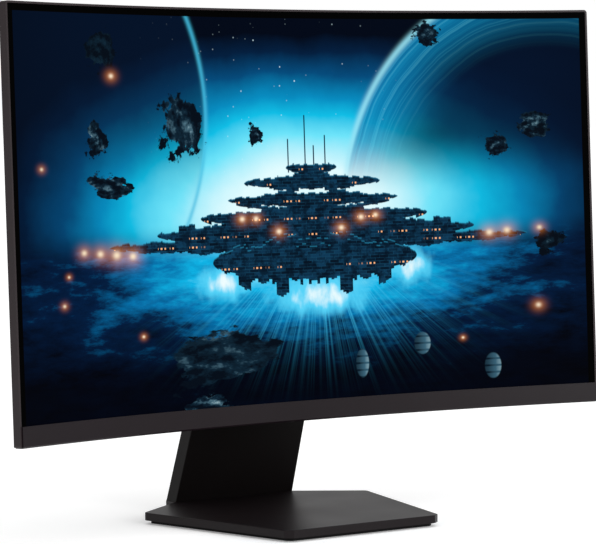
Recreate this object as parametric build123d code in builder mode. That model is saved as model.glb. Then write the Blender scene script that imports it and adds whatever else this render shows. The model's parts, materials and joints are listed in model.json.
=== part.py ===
from build123d import *
import math
import os

# A curved desktop monitor. +Z is up and the screen faces -Y. The origin is on the desk, midway between
# the stand's two sides and midway between the front and back of its foot. All sizes are in millimetres.

os.makedirs("parts", exist_ok=True)


def save(piece, name):
    """Label one finished sub-part and write its STEP file."""
    piece.part.label = name
    export_step(piece.part, "parts/" + name + ".step")


# ---------------------------------------------------------------- driving sizes

SCREEN_R = 1000.0  # radius the screen is bent to
HEAD_H = 366.0
HEAD_HALF_ARC = 308.0  # half the head's width, measured along the bend
HEAD_TILT = 2.0  # how far the screen leans back at rest, in degrees
HEAD_FRONT_Y = -15.3  # foot of the screen's front face, at its middle
HEAD_FOOT_Z = 89.9

CHIN_H = 18.0
FRAME_WALL = 1.8
FRAME_DEPTH = 7.5
CORNER_R = 3.0
GAP = 0.3  # play between neighbouring pieces

BASE_FRONT_Y = -118.0
BASE_FRONT_HALF = 79.0
BASE_WIDE_Y = 55.3
BASE_WIDE_HALF = 120.8
BASE_REAR_SLOPE = 0.735  # run of the slanting rear edges
BASE_TOP = 10.6
BASE_SIDE_FOOT = 3.6  # underside of the base cover's wall
BASE_PAD_INSET = 5.5

COLUMN_FOOT_HALF = 63.5
COLUMN_FOOT_Y = 95.4  # front face of the column where it meets the base
COLUMN_RUN_Y = 18.0  # column thickness measured level
COLUMN_LEAN = math.degrees(math.atan(0.38))  # forward lean
COLUMN_TAPER = 0.031  # half-width lost per millimetre of length
HINGE_Z = 200.0

BULGE_DEPTH = 52.0
CHANNEL_HALF = 64.0
SKIN = 2.2  # moulded wall thickness

# ---------------------------------------------------------------- planes

tilt = math.radians(HEAD_TILT)
head_floor = Plane(
    origin=(0, HEAD_FRONT_Y, HEAD_FOOT_Z),
    x_dir=(1, 0, 0),
    z_dir=(0, math.sin(tilt), math.cos(tilt)),
)  # its x runs across the screen, its y straight back from it and its z up it


def head_face(depth):
    """Plane parallel to the screen's middle and facing the viewer: x across, y up the screen."""
    return Plane(head_floor.from_local_coords((0, depth, 0)), x_dir=(1, 0, 0), z_dir=-head_floor.y_dir)


def head_side(across):
    """Plane cutting the head fore and aft: x is the depth behind the screen, y is up it."""
    return Plane(head_floor.from_local_coords((across, 0, 0)), x_dir=head_floor.y_dir, z_dir=(1, 0, 0))


def head_point(across, depth, up):
    """World position of a point given in the head's own directions."""
    return head_floor.from_local_coords((across, depth, up))


lean = math.radians(COLUMN_LEAN)
COLUMN_THICK = COLUMN_RUN_Y * math.cos(lean)
column_front = Plane(
    origin=(0, COLUMN_FOOT_Y, BASE_TOP),
    x_dir=(1, 0, 0),
    z_dir=(0, -math.cos(lean), -math.sin(lean)),
)  # the column's front face: x across it and y up it


def column_layer(depth):
    """Plane parallel to the column's front face, the given depth inside it."""
    return column_front.offset(-depth)


# the tilt axis lies on the column's middle plane
HINGE_Y = COLUMN_FOOT_Y + COLUMN_RUN_Y / 2 - math.tan(lean) * (HINGE_Z - BASE_TOP)
hinge = Vector(0, HINGE_Y, HINGE_Z)
hinge_in_head = head_floor.to_local_coords(hinge)
HINGE_DEPTH = hinge_in_head.Y
HINGE_UP = hinge_in_head.Z
HINGE_ALONG = column_front.to_local_coords(hinge).Y  # how far up the column the axis is
COLUMN_TOP = HINGE_ALONG + 22.0


# ---------------------------------------------------------------- shared shapes

def bent_layer(front, back, arc_from, arc_to, bottom, top, corner=0.0):
    """Sheet bent to the screen's radius, between two depths, two arc positions and two heights."""
    start = 90 - math.degrees(arc_to / SCREEN_R)
    sweep_angle = math.degrees((arc_to - arc_from) / SCREEN_R)
    centre = (0, -SCREEN_R)
    with BuildPart() as layer:
        with BuildSketch(head_floor.offset(bottom)):
            with BuildLine():
                near = CenterArc(centre, SCREEN_R + front, start, sweep_angle)
                far = CenterArc(centre, SCREEN_R + back, start, sweep_angle)
                Line(near @ 0, far @ 0)
                Line(near @ 1, far @ 1)
            make_face()
        extrude(amount=top - bottom)
        if corner > 0:
            ends = layer.edges().filter_by(lambda edge: abs(edge.length - (back - front)) < 0.001)
            fillet(ends, corner)
    return layer.part


def screen_layer(front, back, half_arc, bottom, top, corner=0.0):
    """A bent layer centred on the screen."""
    return bent_layer(front, back, -half_arc, half_arc, bottom, top, corner)


def head_block(x_range, depth_range, up_range):
    """Straight block given by its extents across, behind and up the screen."""
    with BuildPart() as block:
        with BuildSketch(head_face(depth_range[0])):
            with Locations((sum(x_range) / 2, sum(up_range) / 2)):
                Rectangle(x_range[1] - x_range[0], up_range[1] - up_range[0])
        extrude(amount=-(depth_range[1] - depth_range[0]))
    return block.part


def head_pegs(places, radius, depth_range):
    """Round pegs that run straight back from the screen, at (across, up) places."""
    with BuildPart() as pegs:
        with BuildSketch(head_face(depth_range[0])):
            with Locations(*places):
                Circle(radius)
        extrude(amount=-(depth_range[1] - depth_range[0]))
    return pegs.part


def head_screws(places, head_depth, head_r, head_t, shank_r, tip_depth):
    """Pan-head screws driven forward from behind: the head sits behind head_depth and the shank before it."""
    with BuildPart() as screws:
        with BuildSketch(head_face(head_depth)):
            with Locations(*places):
                Circle(head_r)
        extrude(amount=-head_t)
        with BuildSketch(head_face(tip_depth)):
            with Locations(*places):
                Circle(shank_r)
        extrude(amount=-(head_depth - tip_depth))
        with BuildSketch(head_face(head_depth + head_t)):
            with Locations(*places):
                Rectangle(head_r * 1.2, 0.7)
                Rectangle(0.7, head_r * 1.2)
        extrude(amount=head_t * 0.6, mode=Mode.SUBTRACT)
    return screws.part


# ---------------------------------------------------------------- head: frame and screen

INNER_ARC = HEAD_HALF_ARC - FRAME_WALL
CELL_FRONT = 0.8
CELL_BACK = 2.3
CELL_FOOT = 10.0
CELL_HALF_ARC = INNER_ARC - GAP
CELL_TOP = HEAD_H - FRAME_WALL - GAP

frame_outer = screen_layer(0, FRAME_DEPTH, HEAD_HALF_ARC, 0, HEAD_H, CORNER_R)
inner_corner = CORNER_R - FRAME_WALL
frame_inner = screen_layer(-1, FRAME_DEPTH + 1, INNER_ARC, -CORNER_R, HEAD_H - FRAME_WALL, inner_corner)
shelf_outer = screen_layer(2.5, 3.4, INNER_ARC + 0.5, CHIN_H, HEAD_H - FRAME_WALL / 2)
shelf_inner = screen_layer(2, 4, INNER_ARC - 5, 0, HEAD_H - FRAME_WALL - 5)
shelf = shelf_outer - shelf_inner
with BuildPart() as mid_frame:
    add(frame_outer)
    add(frame_inner, mode=Mode.SUBTRACT)
    add(shelf)
save(mid_frame, "mid_frame")

CHIN_PROUD = 1.2
LENS_X = 26.0
LENS_DEPTH = 4.2
LENS_LENGTH = 6.0
LENS_WIDTH = 1.6
CHIN_HALF_ARC = INNER_ARC - 0.1
chin_block = screen_layer(-CHIN_PROUD, FRAME_DEPTH, CHIN_HALF_ARC, 0, CHIN_H)
CHIN_BACK = CELL_FRONT - 0.2
chin_hollow = screen_layer(CHIN_BACK, FRAME_DEPTH + 1, CHIN_HALF_ARC - 2, 2.0, CHIN_H + 1)
chin_cell_way = screen_layer(CHIN_BACK, FRAME_DEPTH + 1, CHIN_HALF_ARC + 1, CELL_FOOT - GAP, CHIN_H + 1)
with BuildPart() as chin_cover:
    add(chin_block)
    front_edges = chin_cover.faces().sort_by(SortBy.AREA)[-2:].edges().filter_by(GeomType.CIRCLE)
    foot_edge = front_edges.sort_by(Axis.Z).sort_by(lambda edge: edge.radius + edge.center().Z)[0]
    chamfer(foot_edge, 1.4)
    add(chin_hollow, mode=Mode.SUBTRACT)
    add(chin_cell_way, mode=Mode.SUBTRACT)
    with BuildSketch(head_floor):
        with Locations((LENS_X, LENS_DEPTH)):
            SlotOverall(LENS_LENGTH + 0.2, LENS_WIDTH + 0.2)
    extrude(amount=2.5, mode=Mode.SUBTRACT)
save(chin_cover, "chin_cover")

with BuildPart() as power_light_lens:
    with BuildSketch(head_floor):
        with Locations((LENS_X, LENS_DEPTH)):
            SlotOverall(LENS_LENGTH, LENS_WIDTH)
    extrude(amount=2.6)
save(power_light_lens, "power_light_lens")

with BuildPart() as lcd_cell:
    add(screen_layer(CELL_FRONT, CELL_BACK, CELL_HALF_ARC, CELL_FOOT, CELL_TOP, 1.2))
save(lcd_cell, "lcd_cell")

# the sheets behind the cell, from front to back
LIT_HALF_ARC = 299.5
LIT_FOOT = 15.0
LIT_TOP = 358.0
sheet_fronts = [3.6, 4.0, 4.4]
sheet_layers = [screen_layer(front, front + 0.3, LIT_HALF_ARC, LIT_FOOT, LIT_TOP) for front in sheet_fronts]
with BuildPart() as optical_sheets:
    add(sheet_layers)
save(optical_sheets, "optical_sheets")

with BuildPart() as light_guide:
    add(screen_layer(4.8, 6.8, LIT_HALF_ARC, LIT_FOOT + 4, LIT_TOP))
save(light_guide, "light_guide")

with BuildPart() as reflector_sheet:
    add(screen_layer(6.9, 7.1, LIT_HALF_ARC, LIT_FOOT, LIT_TOP))
save(reflector_sheet, "reflector_sheet")

# the LED strip lies along the light guide's lower edge and shines up into it
with BuildPart() as led_board:
    add(screen_layer(4.9, 6.7, LIT_HALF_ARC - 2, LIT_FOOT + 0.6, LIT_FOOT + 1.8))
save(led_board, "led_board")

LED_COUNT = 48
LED_PITCH = 12.0
led_blocks = []
for index in range(LED_COUNT):
    middle = (index - (LED_COUNT - 1) / 2) * LED_PITCH
    led_blocks.append(bent_layer(5.1, 6.5, middle - 2, middle + 2, LIT_FOOT + 1.8, LIT_FOOT + 3.2))
with BuildPart() as leds:
    add(led_blocks)
save(leds, "leds")

# plastic ring that holds the sheets, inside the steel tray
ring_outer = screen_layer(3.6, 7.1, LIT_HALF_ARC + 1.9, LIT_FOOT - 2.0, LIT_TOP + 1.9)
ring_inner = screen_layer(3, 8, LIT_HALF_ARC + 0.2, LIT_FOOT - 0.2, LIT_TOP + 0.2)
with BuildPart() as panel_frame:
    add(ring_outer)
    add(ring_inner, mode=Mode.SUBTRACT)
save(panel_frame, "panel_frame")

TRAY_BACK = 8.0
tray_outer = screen_layer(3.7, TRAY_BACK, LIT_HALF_ARC + 2.9, LIT_FOOT - 3.0, LIT_TOP + 2.9)
tray_inner = screen_layer(3, 7.2, LIT_HALF_ARC + 2.1, LIT_FOOT - 2.2, LIT_TOP + 2.1)
with BuildPart() as panel_tray:
    add(tray_outer)
    add(tray_inner, mode=Mode.SUBTRACT)
save(panel_tray, "panel_tray")

# ---------------------------------------------------------------- head: panel electronics

BOARD_FRONT = 8.3
BOARD_BACK = 9.3
board_arcs = [(-235, -35), (35, 235)]
source_layers = [bent_layer(BOARD_FRONT, BOARD_BACK, low, high, 15, 31) for low, high in board_arcs]
with BuildPart() as source_boards:
    add(source_layers)
save(source_boards, "source_boards")

# flexible films run from the cell's foot under the tray to the source boards
FILM_T = 0.2
FILM_HALF = 15.0
FILM_UP = 7.0
film_layers = []
for side in (-1, 1):
    for step in range(3):
        middle = side * (75 + step * 60)
        low = middle - FILM_HALF
        high = middle + FILM_HALF
        front_leg = bent_layer(CELL_BACK, CELL_BACK + FILM_T, low, high, FILM_UP, CELL_FOOT + 1.5)
        under_leg = bent_layer(CELL_BACK, BOARD_BACK + FILM_T, low, high, FILM_UP, FILM_UP + FILM_T)
        back_leg = bent_layer(BOARD_BACK + 0.03, BOARD_BACK + FILM_T, low, high, FILM_UP, 19)
        film_layers.append(front_leg + under_leg + back_leg)
with BuildPart() as driver_films:
    add(film_layers)
save(driver_films, "driver_films")

# ---------------------------------------------------------------- head: chassis and main board

CHASSIS_FRONT = 11.0
CHASSIS_BACK = 12.2
CHASSIS_HALF = 156.0
CHASSIS_FOOT = 76.0
CHASSIS_TOP = 256.0
VESA = 100.0
VESA_UP = 200.0
VESA_R = 2.05
vesa_places = [(x * VESA / 2, VESA_UP + z * VESA / 2) for x in (-1, 1) for z in (-1, 1)]
tall_post_places = [(-112, 246), (112, 246)]
low_screw_places = [(-54, 124), (54, 124)]
bracket_screw_places = [(x * 38, HINGE_UP + z * 20) for x in (-1, 1) for z in (-1, 1)]

BOARD_X = (-155.0, -71.0)
BOARD_UP = (66.0, 190.0)
BOARD_DEPTH = (24.0, 25.6)
board_screw_places = [(x, z) for x in (BOARD_X[0] + 5, BOARD_X[1] - 5) for z in (98.0, BOARD_UP[1] - 5)]

# the steel sheet has a lip folded back along each side
SHEET_T = CHASSIS_BACK - CHASSIS_FRONT
sheet_depths = (CHASSIS_FRONT, CHASSIS_BACK)
lip_depths = (CHASSIS_FRONT, CHASSIS_BACK + 10)
lip_heights = (CHASSIS_FOOT + 14, CHASSIS_TOP - 6)
chassis_block = head_block((-CHASSIS_HALF, CHASSIS_HALF), sheet_depths, (CHASSIS_FOOT, CHASSIS_TOP))
fold_left = head_block((-CHASSIS_HALF, -CHASSIS_HALF + SHEET_T), lip_depths, lip_heights)
fold_right = head_block((CHASSIS_HALF - SHEET_T, CHASSIS_HALF), lip_depths, lip_heights)
light_holes = head_pegs([(x, z) for x in (75, 105, 135) for z in (110, 150, 190)], 9.0, (10, 14))
screw_holes = head_pegs(bracket_screw_places + low_screw_places, 1.55, (10, 14))
with BuildPart() as chassis_plate:
    add(chassis_block)
    add(fold_left)
    add(fold_right)
    add(light_holes, mode=Mode.SUBTRACT)
    add(screw_holes, mode=Mode.SUBTRACT)
save(chassis_plate, "chassis_plate")

RECESS = 2.0
VESA_FACE = BULGE_DEPTH - RECESS
vesa_pillars = head_pegs(vesa_places, 5.0, (CHASSIS_BACK, VESA_FACE))
vesa_threads = head_pegs(vesa_places, VESA_R, (VESA_FACE - 14, VESA_FACE + 1))
with BuildPart() as vesa_bosses:
    add(vesa_pillars)
    add(vesa_threads, mode=Mode.SUBTRACT)
save(vesa_bosses, "vesa_bosses")

POST_BACK = 42.0
post_pillars = head_pegs(tall_post_places, 4.0, (CHASSIS_BACK, POST_BACK))
post_threads = head_pegs(tall_post_places, 1.55, (POST_BACK - 10, POST_BACK + 1))
with BuildPart() as cover_posts:
    add(post_pillars)
    add(post_threads, mode=Mode.SUBTRACT)
save(cover_posts, "cover_posts")

standoff_pillars = head_pegs(board_screw_places, 2.8, (CHASSIS_BACK, BOARD_DEPTH[0]))
standoff_threads = head_pegs(board_screw_places, 1.3, (BOARD_DEPTH[0] - 6, BOARD_DEPTH[0] + 1))
with BuildPart() as board_standoffs:
    add(standoff_pillars)
    add(standoff_threads, mode=Mode.SUBTRACT)
save(board_standoffs, "board_standoffs")

main_board_block = head_block(BOARD_X, BOARD_DEPTH, BOARD_UP)
main_board_holes = head_pegs(board_screw_places, 1.5, (BOARD_DEPTH[0] - 1, BOARD_DEPTH[1] + 1))
with BuildPart() as main_board:
    add(main_board_block)
    add(main_board_holes, mode=Mode.SUBTRACT)
save(main_board, "main_board")

with BuildPart() as board_screws:
    add(head_screws(board_screw_places, BOARD_DEPTH[1], 2.7, 1.8, 1.25, BOARD_DEPTH[0] - 5))
save(board_screws, "board_screws")

# chips, coils and capacitors stand on the board's rear face
FACE = BOARD_DEPTH[1]
SCALER_X = -112.0
SCALER_UP = 146.0
SCALER_HALF = 12.0
SCALER_T = 1.6


def square_part(middle_x, middle_up, half, height):
    """Square component standing on the board's rear face."""
    return head_block(
        (middle_x - half, middle_x + half), (FACE, FACE + height), (middle_up - half, middle_up + half)
    )


scaler_chip = square_part(SCALER_X, SCALER_UP, SCALER_HALF, SCALER_T)
memory_chips = [square_part(SCALER_X + 24, SCALER_UP + rise, 6, 1.1) for rise in (8, -10)]
driver_chip = square_part(SCALER_X - 30, SCALER_UP + 9, 5, 1.2)
coil_blocks = [square_part(SCALER_X - 31 + step * 15, SCALER_UP - 29, 5, 5) for step in range(3)]
capacitor_places = [(SCALER_X - 31 + step * 12, SCALER_UP + 24) for step in range(4)]
capacitor_pegs = head_pegs(capacitor_places, 4.0, (FACE, FACE + 11))
with BuildPart() as board_components:
    add(scaler_chip)
    add(memory_chips)
    add(driver_chip)
    add(coil_blocks)
    add(capacitor_pegs)
save(board_components, "board_components")

FIN_COUNT = 7
FIN_T = 1.4
SINK_HALF = SCALER_HALF + 1
SINK_FRONT = FACE + SCALER_T
FIN_FOOT = SINK_FRONT + 1.8
sink_heights = (SCALER_UP - SINK_HALF, SCALER_UP + SINK_HALF)
sink_base = head_block((SCALER_X - SINK_HALF, SCALER_X + SINK_HALF), (SINK_FRONT, FIN_FOOT), sink_heights)
fin_blocks = []
for index in range(FIN_COUNT):
    left = SCALER_X - SINK_HALF + index * (2 * SINK_HALF - FIN_T) / (FIN_COUNT - 1)
    fin_blocks.append(head_block((left, left + FIN_T), (FIN_FOOT, FACE + 11), sink_heights))
with BuildPart() as heat_sink:
    add(sink_base)
    add(fin_blocks)
save(heat_sink, "heat_sink")

# ---------------------------------------------------------------- head: sockets along the board's lower edge

SOCKET_MOUTH = 62.6
SHELL = 0.6
TONGUE_START = 5.4


def video_socket(middle, width, height, depth):
    """Open-mouthed box socket facing down, with a contact tongue set back from its mouth."""
    half = width / 2
    front = FACE + 0.2
    heights = (SOCKET_MOUTH, SOCKET_MOUTH + depth)
    shell = head_block((middle - half, middle + half), (front, front + height), heights)
    mouth = head_block(
        (middle - half + SHELL, middle + half - SHELL),
        (front + SHELL, front + height - SHELL),
        (SOCKET_MOUTH - 1, SOCKET_MOUTH + depth - 1.5),
    )
    tongue = head_block(
        (middle - half + 3, middle + half - 3),
        (front + height / 2 - 0.6, front + height / 2 + 0.6),
        (SOCKET_MOUTH + TONGUE_START, SOCKET_MOUTH + depth - 1),
    )
    return shell - mouth + tongue


HDMI_X = (-93.0, -113.0)
HDMI_SIZE = (15.4, 6.2, 12.0)
DP_X = -133.0
DP_SIZE = (17.4, 6.4, 13.0)
AUDIO_X = -149.0
POWER_X = -76.5
AUDIO_R = 1.8
POWER_R = 2.8
JACK_DEPTH = FACE + 4.4

hdmi_shells = [video_socket(middle, *HDMI_SIZE) for middle in HDMI_X]
with BuildPart() as hdmi_sockets:
    add(hdmi_shells)
save(hdmi_sockets, "hdmi_sockets")

with BuildPart() as displayport_socket:
    add(video_socket(DP_X, *DP_SIZE))
save(displayport_socket, "displayport_socket")


def round_jack(middle, half, bore_r, length):
    """Block with a round bore that opens downward."""
    with BuildPart() as jack:
        with BuildSketch(head_floor.offset(SOCKET_MOUTH)):
            with Locations((middle, JACK_DEPTH)):
                Rectangle(2 * half, 2 * half)
        extrude(amount=length)
        with BuildSketch(head_floor.offset(SOCKET_MOUTH - 1)):
            with Locations((middle, JACK_DEPTH)):
                Circle(bore_r)
        extrude(amount=length - 1, mode=Mode.SUBTRACT)
    return jack.part


with BuildPart() as headphone_jack:
    add(round_jack(AUDIO_X, 3.8, AUDIO_R, 14.0))
save(headphone_jack, "headphone_jack")

power_block = round_jack(POWER_X, 4.2, POWER_R, 13.0)
with BuildPart() as power_jack:
    add(power_block)
    with BuildSketch(head_floor.offset(SOCKET_MOUTH + 3)):
        with Locations((POWER_X, JACK_DEPTH)):
            Circle(1.0)
    extrude(amount=9)
save(power_jack, "power_jack")


def socket_cutouts(up_range, play):
    """Blocks that clear a way for every socket through a wall across the given heights."""
    cuts = []
    for middle in HDMI_X:
        cuts.append((middle, HDMI_SIZE[0] / 2, FACE + 0.2, FACE + 0.2 + HDMI_SIZE[1]))
    cuts.append((DP_X, DP_SIZE[0] / 2, FACE + 0.2, FACE + 0.2 + DP_SIZE[1]))
    cuts.append((AUDIO_X, 3.8, JACK_DEPTH - 3.8, JACK_DEPTH + 3.8))
    cuts.append((POWER_X, 4.2, JACK_DEPTH - 4.2, JACK_DEPTH + 4.2))
    return [
        head_block((middle - half - play, middle + half + play), (front - play, back + play), up_range)
        for middle, half, front, back in cuts
    ]


IO_WALL_FOOT = 62.0
IO_WALL_TOP = IO_WALL_FOOT + SKIN
SHIELD_X = (BOARD_X[0] + 1, BOARD_X[1] + 1)
SHIELD_FOOT = IO_WALL_TOP + 0.2
SHIELD_T = 0.8
SHIELD_BACK = FACE + 12.4
shield_block = head_block(SHIELD_X, (19, SHIELD_BACK), (SHIELD_FOOT, SHIELD_FOOT + SHIELD_T))
shield_lip = head_block(SHIELD_X, (SHIELD_BACK - SHIELD_T, SHIELD_BACK), (SHIELD_FOOT, SHIELD_FOOT + 6.8))
shield_cuts = socket_cutouts((IO_WALL_TOP - 1, IO_WALL_TOP + 2), 0.2)
with BuildPart() as socket_shield:
    add(shield_block)
    add(shield_lip)
    add(shield_cuts, mode=Mode.SUBTRACT)
save(socket_shield, "socket_shield")

# ---------------------------------------------------------------- head: ribbons and harnesses


def ribbon(across, width, thick, route):
    """Flat cable that follows straight legs between (depth, up) points."""
    legs = []
    for (depth_a, up_a), (depth_b, up_b) in zip(route, route[1:]):
        depths = (min(depth_a, depth_b), max(depth_a, depth_b) + thick)
        heights = (min(up_a, up_b), max(up_a, up_b) + thick)
        legs.append(head_block((across, across + width), depths, heights))
    joined = legs[0]
    for leg in legs[1:]:
        joined = joined + leg
    return joined


def harness(route, radius):
    """Round wire harness swept along straight legs with rounded bends."""
    points = [head_point(*place) for place in route]
    with BuildPart() as wire:
        with BuildLine():
            path = FilletPolyline(*points, radius=radius * 2.5)
        with BuildSketch(Plane(origin=path @ 0, z_dir=path % 0)):
            Circle(radius)
        sweep()
    return wire.part


RIBBON_T = 0.3
ribbon_route = [(5.2, 24), (5.2, 54), (9.8, 54), (9.8, 68), (BOARD_DEPTH[0] - RIBBON_T, 68)]
with BuildPart() as panel_ribbon:
    add(ribbon(-122, 26, RIBBON_T, ribbon_route))
save(panel_ribbon, "panel_ribbon")

# both harnesses end on the main board's front face, just above its lower edge
HARNESS_R = 0.9
HARNESS_END = (BOARD_DEPTH[0] - 0.2, BOARD_UP[0] + 6)
JOYSTICK_WIRE_DEPTH = 10.2
joystick_route = [
    (-12, 17, 22.9),
    (-12, JOYSTICK_WIRE_DEPTH, 22.9),
    (-12, JOYSTICK_WIRE_DEPTH, 40),
    (-80, JOYSTICK_WIRE_DEPTH, 40),
    (-80, JOYSTICK_WIRE_DEPTH, HARNESS_END[1]),
    (-80, *HARNESS_END),
]
with BuildPart() as joystick_harness:
    add(harness(joystick_route, HARNESS_R))
save(joystick_harness, "joystick_harness")

BACKLIGHT_WIRE_DEPTH = 9.6
backlight_route = [
    (-150, -1.8, 56),
    (-150, BACKLIGHT_WIRE_DEPTH, 56),
    (-150, BACKLIGHT_WIRE_DEPTH, HARNESS_END[1]),
    (-150, *HARNESS_END),
]
with BuildPart() as backlight_harness:
    add(harness(backlight_route, HARNESS_R))
save(backlight_harness, "backlight_harness")

# ---------------------------------------------------------------- head: hinge bracket

EAR_X = 30.0
EAR_T = 2.5
EAR_TIP_R = 5.8
SHAFT_R = 3.0
BRACKET_FRONT = CHASSIS_BACK
BRACKET_BACK = CHASSIS_BACK + 2.2
EAR_ROOT = 13.0  # half the height of a cheek where it leaves the bracket


def ear(inner_x, depth_from, root_half, tip_r, bore):
    """One cheek of the head's bracket: a wide root narrowing to a round end on the tilt axis."""
    with BuildPart() as cheek:
        with BuildSketch(head_side(inner_x)):
            with BuildLine():
                Polyline(
                    (HINGE_DEPTH, HINGE_UP + tip_r),
                    (depth_from, HINGE_UP + root_half),
                    (depth_from, HINGE_UP - root_half),
                    (HINGE_DEPTH, HINGE_UP - tip_r),
                )
                ThreePointArc(
                    (HINGE_DEPTH, HINGE_UP - tip_r),
                    (HINGE_DEPTH + tip_r, HINGE_UP),
                    (HINGE_DEPTH, HINGE_UP + tip_r),
                )
            make_face()
            with Locations((HINGE_DEPTH, HINGE_UP)):
                Circle(bore, mode=Mode.SUBTRACT)
        extrude(amount=EAR_T)
    return cheek.part


bracket_base = head_block((-45, 45), (BRACKET_FRONT, BRACKET_BACK), (HINGE_UP - 27, HINGE_UP + 25))
bracket_holes = head_pegs(bracket_screw_places, 1.6, (BRACKET_FRONT - 1, BRACKET_BACK + 1))
left_ear = ear(-EAR_X - EAR_T, BRACKET_FRONT + 1, EAR_ROOT, EAR_TIP_R, SHAFT_R + 0.05)
right_ear = ear(EAR_X, BRACKET_FRONT + 1, EAR_ROOT, EAR_TIP_R, SHAFT_R + 0.05)
with BuildPart() as head_bracket:
    add(bracket_base)
    add(left_ear)
    add(right_ear)
    add(bracket_holes, mode=Mode.SUBTRACT)
save(head_bracket, "head_bracket")

with BuildPart() as bracket_screws:
    add(head_screws(bracket_screw_places, BRACKET_BACK, 3.2, 2.0, 1.5, CHASSIS_FRONT - 1))
save(bracket_screws, "bracket_screws")

# ---------------------------------------------------------------- head: rear cover

DISH_BACK = 18.0
DISH_HALF_ARC = HEAD_HALF_ARC - 3.0
BULGE_START = 0.0
BULGE_TAPER = 20.0
bulge_half_outline = [(166, 45), (180, 90), (180, 242), (140, 286)]
bulge_outline = bulge_half_outline + [(-x, up) for x, up in reversed(bulge_half_outline)]


def dish(front, back, half_arc, bottom, top, bevel_in, bevel_deep):
    """Bent tray shape with a bevel all round its rear rim."""
    with BuildPart() as tray:
        add(screen_layer(front, back, half_arc, bottom, top))
        rear = tray.faces().filter_by(GeomType.CYLINDER).sort_by(lambda face: face.center().Y)[-1]
        chamfer(rear.edges(), bevel_in, bevel_deep, reference=rear)
    return tray.part


def bulge(shrink, back):
    """Eight-sided housing on the back of the head, its sides drawn in toward the rear."""
    with BuildPart() as housing:
        with BuildSketch(head_face(BULGE_START)):
            with BuildLine():
                Polyline(*bulge_outline, close=True)
            make_face()
            if shrink > 0:
                offset(amount=-shrink, kind=Kind.INTERSECTION, mode=Mode.REPLACE)
        extrude(amount=-(back - BULGE_START), taper=BULGE_TAPER)
    return housing.part


dish_outer = dish(FRAME_DEPTH, DISH_BACK, DISH_HALF_ARC, 0.6, HEAD_H - 0.6, 11.0, 7.0)
dish_inner = dish(-5, DISH_BACK - SKIN, DISH_HALF_ARC - SKIN, 0.6 + SKIN, HEAD_H - 0.6 - SKIN, 10.5, 6.0)
bulge_outer = bulge(0, BULGE_DEPTH)
bulge_inner = bulge(SKIN * 1.15, BULGE_DEPTH - SKIN - RECESS)

CHANNEL_TOP = HINGE_UP + 27.0
FLOOR_DEPTH = DISH_BACK + 0.2
channel = head_block((-CHANNEL_HALF, CHANNEL_HALF), (FLOOR_DEPTH, 70), (30, CHANNEL_TOP))
channel_wall = head_block(
    (-CHANNEL_HALF - SKIN, CHANNEL_HALF + SKIN), (FLOOR_DEPTH - SKIN, 70), (30, CHANNEL_TOP + SKIN)
)
POCKET_X = (-158.0, -67.5)
pocket = head_block(POCKET_X, (FLOOR_DEPTH, 70), (30, IO_WALL_FOOT))
pocket_wall = head_block(
    (POCKET_X[0] - SKIN, POCKET_X[1] + SKIN), (FLOOR_DEPTH - SKIN, 70), (30, IO_WALL_TOP)
)
bracket_window = head_block((-46, 46), (FLOOR_DEPTH - 4, FLOOR_DEPTH + 1), (HINGE_UP - 28, CHANNEL_TOP - 2))
socket_windows = socket_cutouts((IO_WALL_FOOT - 1, IO_WALL_TOP + 1), 0.3)

# the pod under the middle of the lower edge holds the joystick
POD_X = 18.0
POD_BACK = 28.0
POD_TOP = 27.0
JOY_DEPTH = 18.0
pod_outer = head_block((-POD_X, POD_X), (FRAME_DEPTH + 1, POD_BACK), (0.6, POD_TOP))
pod_inner = head_block((-POD_X + 2, POD_X - 2), (FRAME_DEPTH, POD_BACK - 2), (0.6 + 2, POD_TOP - 2))

cavity = dish_inner + (bulge_inner - channel_wall - pocket_wall) + pod_inner
shell = dish_outer + bulge_outer + pod_outer - channel - pocket

SLOT_COUNT = 25
vent_places = [((index - (SLOT_COUNT - 1) / 2) * 9.0, 33.0) for index in range(SLOT_COUNT)]
with BuildPart() as vent_blades:
    with BuildSketch(head_floor.offset(262)):
        with Locations(*vent_places):
            SlotOverall(17.0, 3.0, rotation=90)
    extrude(amount=30)

vesa_clearance = head_pegs(vesa_places, 5.3, (VESA_FACE - 5, BULGE_DEPTH + 1))
post_wells = head_pegs(tall_post_places, 4.4, (POST_BACK + 2, BULGE_DEPTH + 1))
post_holes = head_pegs(tall_post_places, 1.7, (POST_BACK - 1, BULGE_DEPTH + 1))
post_sleeves = head_pegs(tall_post_places, 6.4, (POST_BACK, BULGE_DEPTH - 1))
low_holes = head_pegs(low_screw_places, 1.7, (FLOOR_DEPTH - 4, FLOOR_DEPTH + 1))

with BuildPart() as rear_cover:
    add(shell)
    add(cavity, mode=Mode.SUBTRACT)
    add(post_sleeves)
    with BuildSketch(head_face(BULGE_DEPTH + 1)):
        with Locations((0, VESA_UP)):
            RectangleRounded(124, 116, 6)
    extrude(amount=RECESS + 1, mode=Mode.SUBTRACT)
    add(vesa_clearance, mode=Mode.SUBTRACT)
    add(post_wells, mode=Mode.SUBTRACT)
    add(post_holes, mode=Mode.SUBTRACT)
    add(low_holes, mode=Mode.SUBTRACT)
    add(bracket_window, mode=Mode.SUBTRACT)
    add(socket_windows, mode=Mode.SUBTRACT)
    add(vent_blades.part, mode=Mode.SUBTRACT)
    with BuildSketch(head_floor):
        with Locations((0, JOY_DEPTH)):
            Circle(7.6)
    extrude(amount=4, mode=Mode.SUBTRACT)
save(rear_cover, "rear_cover")

tall_screws = head_screws(tall_post_places, POST_BACK + 2, 3.2, 2.0, 1.5, POST_BACK - 8)
low_screws = head_screws(low_screw_places, FLOOR_DEPTH, 3.2, 1.8, 1.5, CHASSIS_FRONT - 1)
with BuildPart() as cover_screws:
    add(tall_screws)
    add(low_screws)
save(cover_screws, "cover_screws")

# ---------------------------------------------------------------- joystick under the lower edge

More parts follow.
